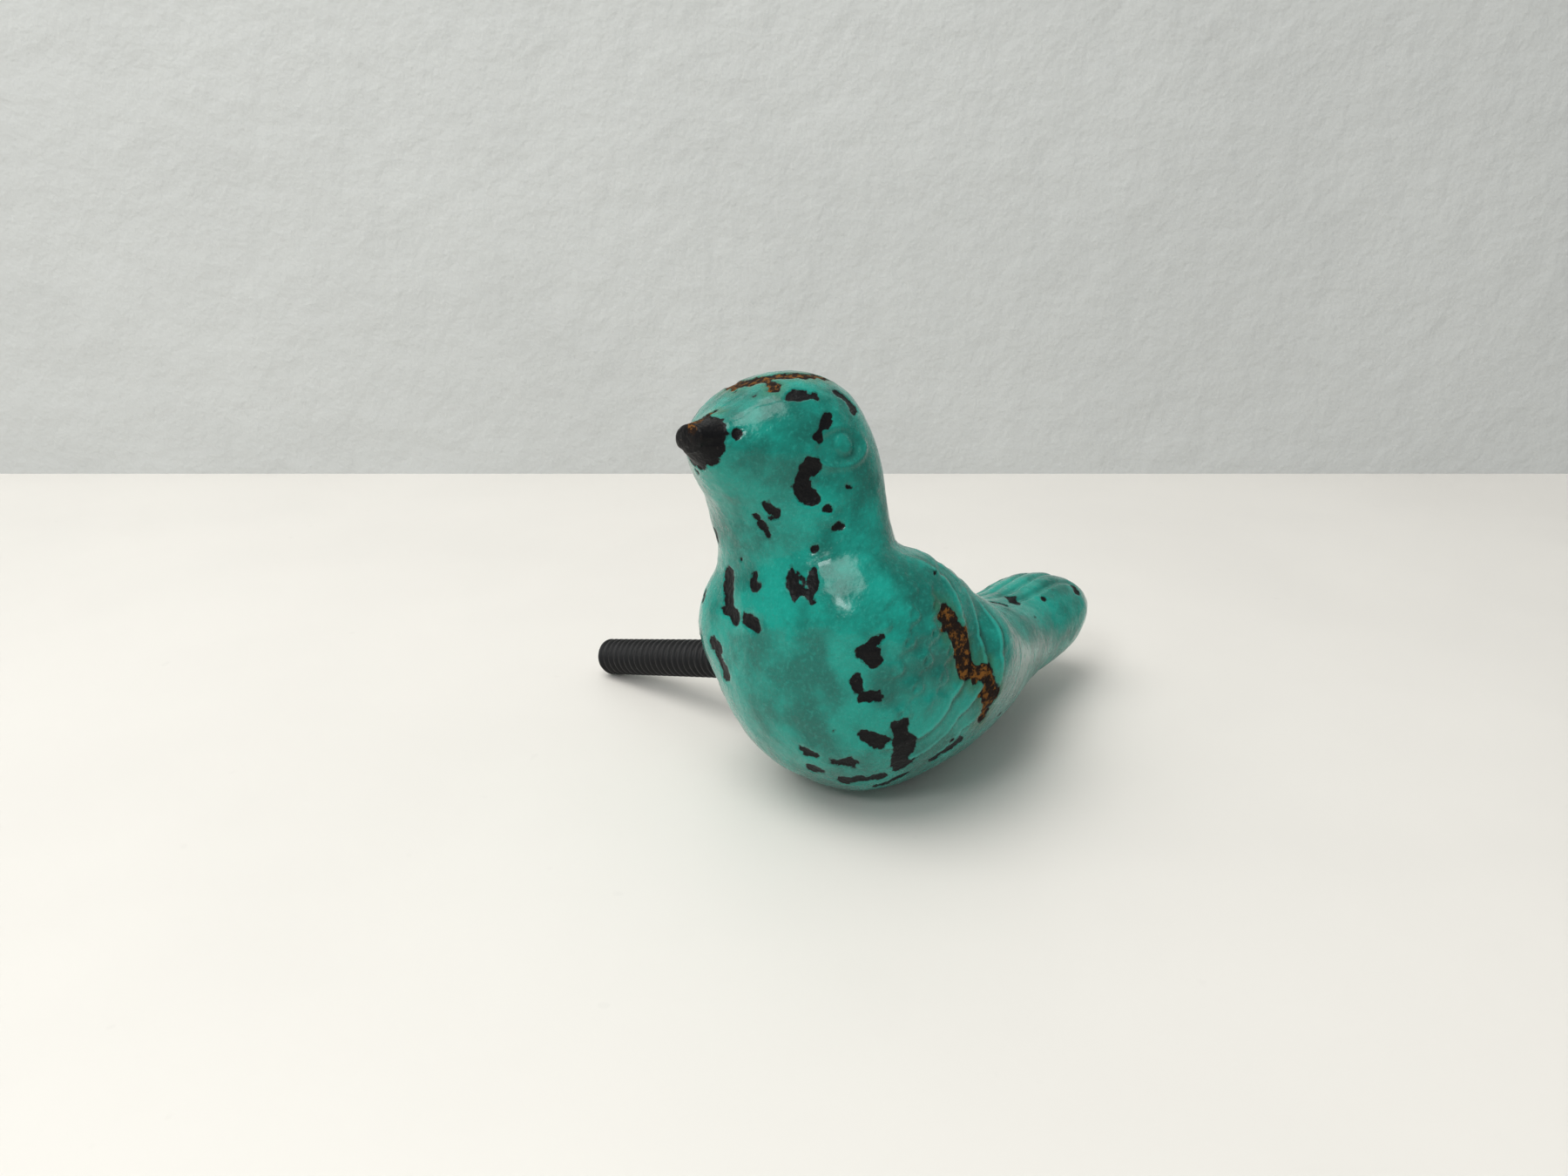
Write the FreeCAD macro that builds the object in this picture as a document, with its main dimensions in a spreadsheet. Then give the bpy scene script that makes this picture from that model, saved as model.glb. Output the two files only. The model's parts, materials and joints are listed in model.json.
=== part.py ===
import FreeCAD, Part
import math
import os
import Sketcher

# A cast iron cabinet knob in the shape of a small plump bird, with a threaded stud.
#
# Each piece is drawn in the knob's own frame, in millimetres: the beak towards -X, the tail
# towards +X, the bird's back up (+Z), and the stud out of its right flank along +Y from the
# bird's plane of symmetry.  A common placement then lays the knob down as it lies on a table:
# on its belly and on the end of the stud, so that both touch the level floor at Z = 0.

DOCUMENT = FreeCAD.newDocument("bird_knob")
SHEET = DOCUMENT.addObject("Spreadsheet::Sheet", "Sizes")

# The bird's skin runs through cross-sections, from the tail to the beak.  Each section is an egg
# across the body: its top and bottom points lie in the plane of symmetry, half_width is its
# reach to each side, and sag makes it slimmer above and fuller below (or the other way).
#   name        top x, top z, bottom x, bottom z, half width, sag
SECTIONS = (
    ("tail_end", 40.5, -2.0, 40.5, -7.0, 4.5, 0.0),
    ("tail_tip", 38.0, -0.5, 38.0, -9.0, 6.0, 0.0),
    ("tail_root", 27.0, 0.5, 27.0, -11.5, 7.0, 0.0),
    ("loin", 15.0, 2.5, 12.0, -13.5, 11.5, -0.2),
    ("flank", 9.0, 5.5, 2.0, -14.5, 14.5, -0.3),
    ("belly", 6.0, 7.5, -6.0, -13.5, 15.5, -0.3),
    ("breast", 3.5, 9.5, -13.5, -8.5, 14.5, 0.0),
    ("shoulder", 1.5, 12.0, -17.0, 0.0, 13.0, 0.1),
    ("neck", 0.5, 16.5, -16.5, 9.0, 11.0, 0.15),
    ("nape", 0.5, 24.5, -15.0, 14.0, 10.0, 0.0),
    ("cheek", -1.5, 30.0, -15.0, 16.5, 10.0, 0.0),
    ("crown", -6.5, 32.5, -15.5, 19.0, 9.0, -0.1),
    ("face", -13.5, 31.5, -17.5, 22.5, 6.0, -0.1),
    ("beak_root", -16.5, 30.0, -19.0, 24.5, 3.5, -0.1),
    ("beak_end", -20.5, 29.5, -20.5, 26.5, 2.0, 0.0),
)
SECTION_FIELDS = ("top_x", "top_z", "bottom_x", "bottom_z", "half_width", "sag")

SIZES = (
    ("wing_x", -5, "centre of each wing pad, along the body"),
    ("wing_z", 5, "centre of each wing pad, above the middle of the body"),
    ("wing_inset", 7.5, "centre of each wing pad, in from the widest part of the body"),
    ("wing_half_length", 10.5, "half length of a wing pad"),
    ("wing_half_height", 7.5, "half height of a wing pad"),
    ("wing_half_depth", 7, "half thickness of a wing pad"),
    ("wing_droop", 25, "slope of a wing pad down towards the tail, degrees"),
    ("stud_x", -1, "stud axis, along the body"),
    ("stud_z", -0.5, "stud axis, above the middle of the body"),
    ("stud_diameter", 4.83, "outside of the number 10-24 thread"),
    ("stud_reach", 29.0, "free length of the stud, from the seat to its end"),
    ("stud_grip", 8.0, "length of the stud screwed into the casting"),
    ("thread_depth", 0.69, "the outside of the thread less its pitch diameter"),
    ("stud_chamfer", 0.5, "chamfer on both ends of the stud"),
    ("thread_gap", 0.02, "gap between the stud and its tapped hole, on the radius"),
    ("boss_proud", 1.2, "how far the seat stands out beyond the widest part of the body"),
    ("seat_diameter", 11.0, "boss whose flat seat bears on the drawer front"),
    ("seat_edge", 0.4, "rounded rim of the seat"),
    ("mouth_margin", 0.67, "the hole's 45 degree countersink at the seat, less the stud"),
    ("boss_depth", 6.0, "length of the boss, from its seat into the body"),
    ("lean", 0.0, "how far the knob leans over onto its stud, degrees, found below"),
    ("rest_x", 0.0, "place of the knob's own frame along the floor, found below"),
    ("rest_y", 0.0, "place of the knob's own frame across the floor, found below"),
    ("lift", 0.0, "height of the knob's own frame above the floor, found below"),
)

WING_OUT = "(Sizes.belly_half_width - Sizes.wing_inset)"
SEAT_OUT = "(Sizes.belly_half_width + Sizes.boss_proud)"
GRIP_DIAMETER = "(Sizes.stud_diameter - Sizes.thread_depth)"
BORE_DIAMETER = "(Sizes.stud_diameter - Sizes.thread_depth + 2 * Sizes.thread_gap)"
MOUTH_DIAMETER = "(Sizes.stud_diameter + Sizes.mouth_margin)"

# Pose both pieces share: turned about X by the lean, lifted until they touch the floor, and
# centred over the origin.
REST = ("create(<<placement>>; create(<<vector>>; Sizes.rest_x; Sizes.rest_y; Sizes.lift);"
        " create(<<rotation>>; create(<<vector>>; 1; 0; 0); -Sizes.lean))")

POLES_AROUND = 12
# A closed cubic spline through a regular ring of poles runs inside the ring by this share.
POLE_REACH = 6.0 / (4.0 + 2.0 * math.cos(2.0 * math.pi / POLES_AROUND))
DEGREE = 3
SAME_PLACE = 1e-6
LEAN_LIMIT = 45.0
LEAN_STEPS = 30
FLOOR_DEFLECTION = 0.02


def fill_sheet():
    """Write each driving size in the sheet, with its alias and its meaning."""
    rows = []
    for section in SECTIONS:
        for field, value in zip(SECTION_FIELDS, section[1:]):
            rows.append((section[0] + "_" + field, value, field + " of the section"))
    rows.extend(SIZES)
    for number, (alias, value, meaning) in enumerate(rows, start=1):
        SHEET.set("A%d" % number, alias)
        SHEET.set("B%d" % number, repr(value))
        SHEET.set("C%d" % number, meaning)
        SHEET.setAlias("B%d" % number, alias)
    DOCUMENT.recompute()


def bind(thing, **expressions):
    """Bind properties of a document object to the sheet."""
    for name, expression in expressions.items():
        thing.setExpression(name, expression)


def section_poles(name):
    """Return the ring of poles that holds one section, starting from its top point."""
    top_x, top_z, bottom_x, bottom_z, half_width, sag = [
        SHEET.get(name + "_" + field) for field in SECTION_FIELDS]
    top = FreeCAD.Vector(top_x, 0.0, top_z)
    bottom = FreeCAD.Vector(bottom_x, 0.0, bottom_z)
    middle = (top + bottom) * 0.5
    rise = (top - bottom) * (0.5 * POLE_REACH)
    side = FreeCAD.Vector(0.0, half_width * POLE_REACH, 0.0)
    poles = []
    for index in range(POLES_AROUND):
        turn = 2.0 * math.pi * index / POLES_AROUND
        across = math.sin(turn) * (1.0 - sag * math.cos(turn))
        poles.append(middle + rise * math.cos(turn) + side * across)
    return poles


def skin_surface():
    """Skin the sections with one smooth surface, closed around the body."""
    rings = [section_poles(section[0]) for section in SECTIONS]
    middles = [sum(ring, FreeCAD.Vector()) * (1.0 / POLES_AROUND) for ring in rings]
    along = [0.0]
    for before, after in zip(middles, middles[1:]):
        along.append(along[-1] + before.distanceToPoint(after))
    columns = []
    for index in range(POLES_AROUND):
        curve = Part.BSplineCurve()
        curve.interpolate(Points=[ring[index] for ring in rings], Parameters=along)
        columns.append(curve)
    lengthwise = columns[0]
    surface = Part.BSplineSurface()
    surface.buildFromPolesMultsKnots(
        [curve.getPoles() for curve in columns],
        [1] * (POLES_AROUND + 1), lengthwise.getMultiplicities(),
        list(range(POLES_AROUND + 1)), lengthwise.getKnots(),
        True, False, DEGREE, DEGREE)
    return surface


def skin():
    """The smooth body of the bird, from the end of the tail to the tip of the beak."""
    face = skin_surface().toShape()
    caps = []
    for edge in face.Edges:
        if edge.isClosed() and not edge.isSeam(face):
            caps.append(Part.Face(Part.Wire([edge])))
    shell = Part.makeShell([face] + caps)
    shell.sewShape()
    feature = DOCUMENT.addObject("Part::Feature", "skin")
    feature.Shape = Part.makeSolid(shell)
    return feature


def wing(name, side):
    """A wing pad: a flattened ellipsoid that swells out of the flank."""
    pad = DOCUMENT.addObject("Part::Ellipsoid", name)
    bind(pad, Radius2="Sizes.wing_half_length", Radius3="Sizes.wing_half_depth",
         Radius1="Sizes.wing_half_height",
         Placement="create(<<placement>>;"
                   " create(<<vector>>; Sizes.wing_x; %d * %s; Sizes.wing_z);"
                   " create(<<rotation>>; create(<<vector>>; 0; 1; 0); Sizes.wing_droop))"
                   % (side, WING_OUT))
    return pad


def along_y(name, diameter, length, start):
    """A cylinder along +Y on the stud's axis, from this distance out."""
    rod = DOCUMENT.addObject("Part::Cylinder", name)
    bind(rod, Radius="(%s) / 2" % diameter, Height=length,
         Placement="create(<<placement>>;"
                   " create(<<vector>>; Sizes.stud_x; %s; Sizes.stud_z);"
                   " create(<<rotation>>; create(<<vector>>; 1; 0; 0); -90))" % start)
    return rod


def boss():
    """The round boss cast on the flank, with a flat seat and a rounded rim."""
    plain = along_y("plain_boss", "Sizes.seat_diameter", "Sizes.boss_depth",
                    SEAT_OUT + " - Sizes.boss_depth")
    DOCUMENT.recompute()
    seat_out = SHEET.get("belly_half_width") + SHEET.get("boss_proud")
    rims = [number for number, edge in enumerate(plain.Shape.Edges, start=1)
            if edge.isClosed() and abs(edge.CenterOfMass.y - seat_out) < SAME_PLACE
            and len(edge.Vertexes) == 1]
    rounded = DOCUMENT.addObject("Part::Fillet", "boss")
    rounded.Base = plain
    edge = SHEET.get("seat_edge")
    rounded.Edges = [(rims[0], edge, edge)]
    return rounded


def tapped_hole():
    """The blind tapped hole with its countersink, which runs on past the seat at its slope."""
    depth = "(%s - %s) / 2" % (MOUTH_DIAMETER, BORE_DIAMETER)
    straight = along_y("bore", BORE_DIAMETER, "2 * Sizes.stud_grip",
                       SEAT_OUT + " - Sizes.stud_grip")
    mouth = DOCUMENT.addObject("Part::Cone", "countersink")
    bind(mouth, Radius1=BORE_DIAMETER + " / 2",
         Radius2="%s - %s / 2" % (MOUTH_DIAMETER, BORE_DIAMETER), Height="2 * " + depth,
         Placement="create(<<placement>>;"
                   " create(<<vector>>; Sizes.stud_x; %s - %s; Sizes.stud_z);"
                   " create(<<rotation>>; create(<<vector>>; 1; 0; 0); -90))" % (SEAT_OUT, depth))
    hole = DOCUMENT.addObject("Part::Fuse", "tapped_hole")
    hole.Base = straight
    hole.Tool = mouth
    return hole


def bird_casting():
    """The iron casting: skin, wing pads and boss in one, with a blind tapped hole."""
    whole = DOCUMENT.addObject("Part::MultiFuse", "cast_shape")
    whole.Shapes = [skin(), wing("left_wing", -1), wing("right_wing", 1), boss()]
    casting = DOCUMENT.addObject("Part::Cut", "bird_casting")
    casting.Base = whole
    casting.Tool = tapped_hole()
    casting.Label = "bird_casting"
    return casting


def origin_plane(body, role):
    """Return the body's own origin plane with this role."""
    for feature in body.Origin.OriginFeatures:
        if feature.Role == role:
            return feature
    raise ValueError("no origin plane " + role)


def stud_pad(body, name, diameter, length, start):
    """Pad a circle of the stud along +Y, from this distance out."""
    sketch = body.newObject("Sketcher::SketchObject", name + "_circle")
    sketch.AttachmentSupport = [(origin_plane(body, "XZ_Plane"), "")]
    sketch.MapMode = "FlatFace"
    bind(sketch, **{"AttachmentOffset.Base.z": "-(%s)" % start})
    centre = FreeCAD.Vector(SHEET.get("stud_x"), SHEET.get("stud_z"), 0.0)
    width = SHEET.get("stud_diameter")
    sketch.addGeometry(Part.Circle(centre, FreeCAD.Vector(0, 0, 1), width / 2.0), False)
    sketch.addConstraint(Sketcher.Constraint("DistanceX", -1, 1, 0, 3, centre.x))
    sketch.addConstraint(Sketcher.Constraint("DistanceY", -1, 1, 0, 3, centre.y))
    sketch.addConstraint(Sketcher.Constraint("Diameter", 0, width))
    bind(sketch, **{"Constraints[0]": "Sizes.stud_x", "Constraints[1]": "Sizes.stud_z",
                    "Constraints[2]": diameter})
    rod = body.newObject("PartDesign::Pad", name)
    rod.Profile = sketch
    rod.Reversed = True
    bind(rod, Length=length)
    return rod


def threaded_stud():
    """The black threaded stud: its grip is screwed to the bottom of the hole, the rest is free."""
    body = DOCUMENT.addObject("PartDesign::Body", "threaded_stud")
    body.Label = "threaded_stud"
    stud_pad(body, "stud_grip_rod", GRIP_DIAMETER, "Sizes.stud_grip",
             SEAT_OUT + " - Sizes.stud_grip")
    rod = stud_pad(body, "stud_rod", "Sizes.stud_diameter", "Sizes.stud_reach", SEAT_OUT)
    DOCUMENT.recompute()
    seat_out = SHEET.get("belly_half_width") + SHEET.get("boss_proud")
    end_out = seat_out + SHEET.get("stud_reach")
    grip_out = seat_out - SHEET.get("stud_grip")
    ends = ["Edge%d" % number for number, edge in enumerate(rod.Shape.Edges, start=1)
            if edge.isClosed() and (abs(edge.CenterOfMass.y - end_out) < SAME_PLACE
                                    or abs(edge.CenterOfMass.y - grip_out) < SAME_PLACE)]
    chamfer = body.newObject("PartDesign::Chamfer", "stud_ends")
    chamfer.Base = (rod, ends)
    bind(chamfer, Size="Sizes.stud_chamfer")
    return body


def leaning(points, lean):
    """Turn these points about X, so that +Y dips by this many degrees."""
    turn = FreeCAD.Rotation(FreeCAD.Vector(1, 0, 0), -lean)
    return [turn.multVec(point) for point in points]


def lowest(points, lean):
    """The height of the lowest of these points, once the knob leans by this many degrees."""
    return min(point.z for point in leaning(points, lean))


def lie_down(casting, stud):
    """Find the lean at which belly and stud are level, and lay both pieces on the floor."""
    DOCUMENT.recompute()
    belly = casting.Shape.tessellate(FLOOR_DEFLECTION)[0]
    rod = stud.Shape.tessellate(FLOOR_DEFLECTION)[0]
    low, high = 0.0, LEAN_LIMIT
    for _ in range(LEAN_STEPS):
        lean = (low + high) / 2.0
        if lowest(rod, lean) > lowest(belly, lean):
            low = lean
        else:
            high = lean
    points = leaning(belly + rod, lean)
    found = {
        "lean": lean,
        "rest_x": -(min(point.x for point in points) + max(point.x for point in points)) / 2.0,
        "rest_y": -(min(point.y for point in points) + max(point.y for point in points)) / 2.0,
        "lift": -lowest(belly, lean),
    }
    for alias, value in found.items():
        SHEET.set(SHEET.getCellFromAlias(alias), repr(value))
    bind(casting, Placement=REST)
    bind(stud, Placement=REST)
    DOCUMENT.recompute()


def check_document():
    """Stop if any object of the document failed to compute."""
    for thing in DOCUMENT.Objects:
        for state in ("Invalid", "Error"):
            if state in thing.State:
                raise RuntimeError("%s is %s" % (thing.Label, state))


def write_parts(pieces):
    """Write each piece to a file named after it."""
    os.makedirs("parts", exist_ok=True)
    for piece in pieces:
        shape = piece.Shape
        if shape.isNull() or not shape.isValid() or len(shape.Solids) != 1:
            raise RuntimeError(piece.Label + " is not one sound solid")
        shape.exportStep("parts/" + piece.Label + ".step")


def main():
    fill_sheet()
    casting = bird_casting()
    stud = threaded_stud()
    lie_down(casting, stud)
    check_document()
    write_parts([casting, stud])


main()
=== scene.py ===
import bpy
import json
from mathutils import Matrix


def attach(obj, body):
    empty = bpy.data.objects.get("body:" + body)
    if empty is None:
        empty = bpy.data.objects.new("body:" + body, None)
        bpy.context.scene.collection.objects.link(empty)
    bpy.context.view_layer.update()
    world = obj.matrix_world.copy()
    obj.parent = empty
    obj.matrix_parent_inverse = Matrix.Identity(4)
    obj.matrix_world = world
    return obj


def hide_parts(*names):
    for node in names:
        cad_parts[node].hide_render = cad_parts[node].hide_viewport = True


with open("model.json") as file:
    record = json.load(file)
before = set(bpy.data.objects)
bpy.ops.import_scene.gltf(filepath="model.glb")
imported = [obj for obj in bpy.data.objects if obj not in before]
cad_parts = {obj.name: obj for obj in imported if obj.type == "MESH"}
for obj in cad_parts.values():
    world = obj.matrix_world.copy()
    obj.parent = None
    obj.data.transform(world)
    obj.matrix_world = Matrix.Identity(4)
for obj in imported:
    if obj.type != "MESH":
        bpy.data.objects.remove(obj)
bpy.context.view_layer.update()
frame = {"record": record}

import json
import math

import bpy
import numpy as np
from bpy.props import FloatProperty, FloatVectorProperty, PointerProperty
from mathutils import Vector

# A cast iron cabinet knob shaped like a small plump bird, in chipped turquoise enamel, lying on a
# table on its belly and on the end of its threaded stud.
#
# The bird is worked out in the knob's own frame, in millimetres: beak towards -X, tail towards
# +X, back up, stud out along +Y.  The record's mounts say how that frame lies on the floor.

bl_info = {
    "name": "Bird Cabinet Knob",
    "version": (1, 0, 0),
    "blender": (4, 5, 0),
    "location": "3D View > Sidebar > Bird Knob",
    "description": "Builds a cast iron bird knob with chipped enamel and a threaded stud",
    "category": "Add Mesh",
}

MM = 0.001
FULL_TURN = 2.0 * math.pi
MOUNTS = {mount["name"]: mount for mount in frame["record"]["mounts"]}

# The bird's cross-sections from the tail to the beak, as the casting has them.
#   name        top x, top z, bottom x, bottom z, half width, sag
SECTIONS = (
    ("tail_end", 40.5, -2.0, 40.5, -7.0, 4.5, 0.0),
    ("tail_tip", 38.0, -0.5, 38.0, -9.0, 6.0, 0.0),
    ("tail_root", 27.0, 0.5, 27.0, -11.5, 7.0, 0.0),
    ("loin", 15.0, 2.5, 12.0, -13.5, 11.5, -0.2),
    ("flank", 9.0, 5.5, 2.0, -14.5, 14.5, -0.3),
    ("belly", 6.0, 7.5, -6.0, -13.5, 15.5, -0.3),
    ("breast", 3.5, 9.5, -13.5, -8.5, 14.5, 0.0),
    ("shoulder", 1.5, 12.0, -17.0, 0.0, 13.0, 0.1),
    ("neck", 0.5, 16.5, -16.5, 9.0, 11.0, 0.15),
    ("nape", 0.5, 24.5, -15.0, 14.0, 10.0, 0.0),
    ("cheek", -1.5, 30.0, -15.0, 16.5, 10.0, 0.0),
    ("crown", -6.5, 32.5, -15.5, 19.0, 9.0, -0.1),
    ("face", -13.5, 31.5, -17.5, 22.5, 6.0, -0.1),
    ("beak_root", -16.5, 30.0, -19.0, 24.5, 3.5, -0.1),
    ("beak_end", -20.5, 29.5, -20.5, 26.5, 2.0, 0.0),
)
ROWS_ALONG = 386
ROWS_IN_CAP = 6
COLUMNS_AROUND = 248

# How far the closed ends of the tail and the beak bulge.
TAIL_BULGE = (0.5, 0.0, 0.0)
BEAK_BULGE = (-0.5, 0.0, -0.1)

WING_CENTRE = np.array((-5.0, 8.0, 5.0))
WING_HALF = np.array((10.5, 7.0, 7.5))
WING_DROOP = math.radians(25.0)
# How widely the edge of a wing pad melts into the body, and the limit of its reach there.
WING_BLEND = 1.9
FARTHEST_REACH = 6.0

# The rear edges of the wing's feather layers are evenly spaced arcs about one point.
FEATHER_CENTRE = (-14.0, 5.0)
FEATHER_EDGES = 3
FIRST_EDGE_RADIUS = 11.0
FEATHER_EDGE_PITCH = 2.6
FEATHER_STEP = 0.45
COVERT_PITCH = 2.7
TAIL_GROOVES = 2.4 * np.arange(-2, 3)

EYE_X = -9.5
EYE_Z = 24.5
EYEBALL_RADIUS = 1.15
LID_HALF_LENGTH = 2.7
LID_HALF_HEIGHT = 1.8

BEAK_TIP = np.array((-21.5, 0.0, 28.5))
BARE_BEAK_RADIUS = 4.3

STUD_X = -1.0
STUD_Z = -0.5
SEAT_OUT = 16.7
SEAT_RADIUS = 5.5
SEAT_EDGE = 0.4
BORE_RADIUS = 2.09
MOUTH_RADIUS = 2.75
HOLE_DEPTH = 8.0
STUD_REACH = MOUNTS["stud"]["dims"]["length_mm"]
STUD_RADIUS = MOUNTS["stud"]["dims"]["r_mm"]

# The upright axis that bearings are taken about.
UPRIGHT_X = -6.0

# The large marks: each is a stroke between two places on the skin, a place being a height
# above the body's middle in mm and a bearing round the bird in degrees, from the beak towards
# the left flank.
#   height, bearing, to height, bearing, width
CHIPS = (
    (30, 48, 30, 52, 1.6),
    (27, 62, 26, 56, 1.2),
    (29, 84, 28, 90, 1.0),
    (23, 48, 21, 40, 1.7),
    (21, 40, 20, 46, 1.7),
    (20, 20, 19, 23, 1.1),
    (18, 12, 17, 14, 0.7),
    (13, -30, 10, -26, 1.9),
    (10, -26, 9, -19, 1.2),
    (13, -2, 12, -2, 1.1),
    (9, -7, 8, 0, 1.4),
    (13, 25, 11, 27, 1.3),
    (11, 27, 11, 36, 1.4),
    (11, 36, 13, 38, 0.9),
    (13, 30, 12, 34, 0.8),
    (6, -38, 3, -34, 1.7),
    (5, 52, 6, 61, 1.0),
    (5, 55, 4, 57, 1.3),
    (2, 48, 0, 50, 1.2),
    (0, 50, 0, 57, 1.3),
    (-3, 34, -3, 34, 0.6),
    (-4, 48, -5, 56, 1.5),
    (-4, 65, -6, 69, 2.1),
    (-6, 69, -9, 70, 2.1),
    (-9, 72, -8, 79, 0.8),
    (-7, 30, -7, 37, 1.7),
    (-5, 8, -6, 16, 1.3),
    (-8, 6, -8, 14, 1.3),
    (-10, 30, -10, 56, 1.7),
    (-12, 64, -11, 84, 0.9),
    (-10, 101, -9, 109, 1.5),
)
RUSTY_CHIPS = (
    (32, -50, 32, 50, 1.8),
    (32, 50, 31, 95, 1.7),
    (32, 30, 31, 36, 1.1),
    (6, 91, 3, 97, 2.3),
    (3, 97, 0, 97, 2.8),
    (0, 98, -1, 104, 1.9),
    (-1, 106, -5, 112, 2.5),
    (-5, 112, -7, 115, 1.3),
    (30, 2, 29, 2, 1.0),
)

# The small marks are strewn: the seed, how many, and their least and greatest width.
LEFT_SIDE_SPECKS = (21, 30, (0.3, 0.7))
FAR_SIDE_SPECKS = (22, 60, (0.4, 1.8))
FAR_SIDE_Y = 4.0
TAIL_X = 12.0


# ---------------------------------------------------------------- geometry helpers


def smoothstep(low, high, value):
    """0 below low, 1 above high, and a smooth S between them."""
    share = np.clip((value - low) / (high - low), 0.0, 1.0)
    return share * share * (3.0 - 2.0 * share)


def spline_through(knots, rows, places):
    """A natural cubic spline through the rows at the knots, read at the given places.

    The second derivatives at the knots solve the usual tridiagonal system, with none at the
    ends; between two knots the value is the cubic that they and the two rows give.
    """
    knots = np.asarray(knots, float)
    rows = np.asarray(rows, float)
    step = np.diff(knots)
    slope = np.diff(rows, axis=0) / step[:, None]
    count = len(knots)
    system = np.eye(count)
    right = np.zeros_like(rows)
    inner = np.arange(1, count - 1)
    system[inner, inner - 1] = step[:-1]
    system[inner, inner] = 2.0 * (step[:-1] + step[1:])
    system[inner, inner + 1] = step[1:]
    right[inner] = 6.0 * np.diff(slope, axis=0)
    bend = np.linalg.solve(system, right)
    index = np.clip(np.searchsorted(knots, places) - 1, 0, count - 2)
    before = (knots[index + 1] - places)[:, None]
    after = (places - knots[index])[:, None]
    gap = step[index][:, None]
    return ((bend[index] * before ** 3 + bend[index + 1] * after ** 3) / (6.0 * gap)
            + (rows[index] / gap - bend[index] * gap / 6.0) * before
            + (rows[index + 1] / gap - bend[index + 1] * gap / 6.0) * after)


def lumps(points, size, seed):
    """Smooth random lumps from -1 to 1: random values on a cubic lattice, eased between."""
    rng = np.random.default_rng(seed)
    lattice = rng.uniform(-1.0, 1.0, (32, 32, 32))
    place = points / size + 100.0
    cell = np.floor(place).astype(int)
    part = place - cell
    part = part * part * (3.0 - 2.0 * part)
    total = np.zeros(points.shape[:-1])
    for corner in np.ndindex(2, 2, 2):
        weight = np.ones(points.shape[:-1])
        for axis in range(3):
            share = part[..., axis]
            weight = weight * (share if corner[axis] else 1.0 - share)
        spot = (cell + np.array(corner)) % 32
        total += weight * lattice[spot[..., 0], spot[..., 1], spot[..., 2]]
    return total


def layered_lumps(points, size, seed, layers=3):
    """Lumps with finer and weaker lumps on them."""
    total = np.zeros(points.shape[:-1])
    for layer in range(layers):
        total += lumps(points, size / 2.1 ** layer, seed + layer) * 0.5 ** layer
    return total


def grid_normals(grid):
    """Unit normals of a grid that is closed around its second axis, pointing outwards."""
    along = np.gradient(grid, axis=0)
    around = (np.roll(grid, -1, axis=1) - np.roll(grid, 1, axis=1)) * 0.5
    normal = np.cross(around, along)
    length = np.linalg.norm(normal, axis=-1, keepdims=True)
    return normal / np.maximum(length, 1e-9)


def laid_on_floor(points):
    """Take points from the knob's own frame to the row frame, in metres.

    The stud mount's axis gives the lean about X, and its place gives the shift.
    """
    _, level, dip = MOUNTS["stud"]["axis"]
    turn = np.array(((1.0, 0.0, 0.0), (0.0, level, -dip), (0.0, dip, level)))
    middle = turn @ np.array((STUD_X, SEAT_OUT + STUD_REACH / 2.0, STUD_Z)) * MM
    shift = np.array(MOUNTS["stud"]["pos_m"]) - middle
    return points @ turn.T * MM + shift


def grid_faces(rows, columns):
    """Quads of a grid that is closed around its second axis, facing away from its inside."""
    row, column = np.meshgrid(np.arange(rows - 1), np.arange(columns), indexing="ij")
    after = (column + 1) % columns
    quads = np.stack((row * columns + column, row * columns + after,
                      (row + 1) * columns + after, (row + 1) * columns + column), axis=-1)
    return quads.reshape(-1, 4)


def pole_faces(ring_start, columns, pole, last):
    """Triangles from the first or last ring of a grid to the point that closes it."""
    column = np.arange(columns)
    after = (column + 1) % columns
    ends = (column, after) if last else (after, column)
    pole_column = np.full(columns, pole)
    return np.stack((pole_column, ring_start + ends[0], ring_start + ends[1]), axis=-1)


def closed_grid_faces(rows, columns):
    """The quads of a grid and the triangles to its two poles, which come after its points."""
    count = rows * columns
    first = pole_faces(0, columns, count, False)
    last = pole_faces(count - columns, columns, count + 1, True)
    return grid_faces(rows, columns), np.concatenate((first, last))


def new_mesh_object(name, points, quads, triangles, attributes=None):
    """Make an object at the origin from points in the row frame, with smooth faces."""
    corners = np.concatenate((quads.ravel(), triangles.ravel())).astype(np.int32)
    sizes = np.concatenate((np.full(len(quads), 4), np.full(len(triangles), 3))).astype(np.int32)
    starts = np.concatenate(((0,), np.cumsum(sizes)[:-1])).astype(np.int32)
    mesh = bpy.data.meshes.new(name)
    mesh.vertices.add(len(points))
    mesh.vertices.foreach_set("co", np.ascontiguousarray(points, np.float32).ravel())
    mesh.loops.add(len(corners))
    mesh.loops.foreach_set("vertex_index", corners)
    mesh.polygons.add(len(sizes))
    mesh.polygons.foreach_set("loop_start", starts)
    for label, values in (attributes or {}).items():
        layer = mesh.attributes.new(label, "FLOAT", "POINT")
        layer.data.foreach_set("value", np.ascontiguousarray(values, np.float32))
    mesh.update(calc_edges=True)
    mesh.validate()
    mesh.shade_smooth()
    piece = bpy.data.objects.new(name, mesh)
    bpy.context.scene.collection.objects.link(piece)
    return piece


# ---------------------------------------------------------------- the bird's surface


def section_lines():
    """Return the knots along the body's midline and each section's top, bottom, width and sag."""
    table = np.array([section[1:] for section in SECTIONS])
    middle = (table[:, 0:2] + table[:, 2:4]) / 2.0
    gaps = np.linalg.norm(np.diff(middle, axis=0), axis=1)
    return np.concatenate(((0.0,), np.cumsum(gaps))), table


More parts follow.
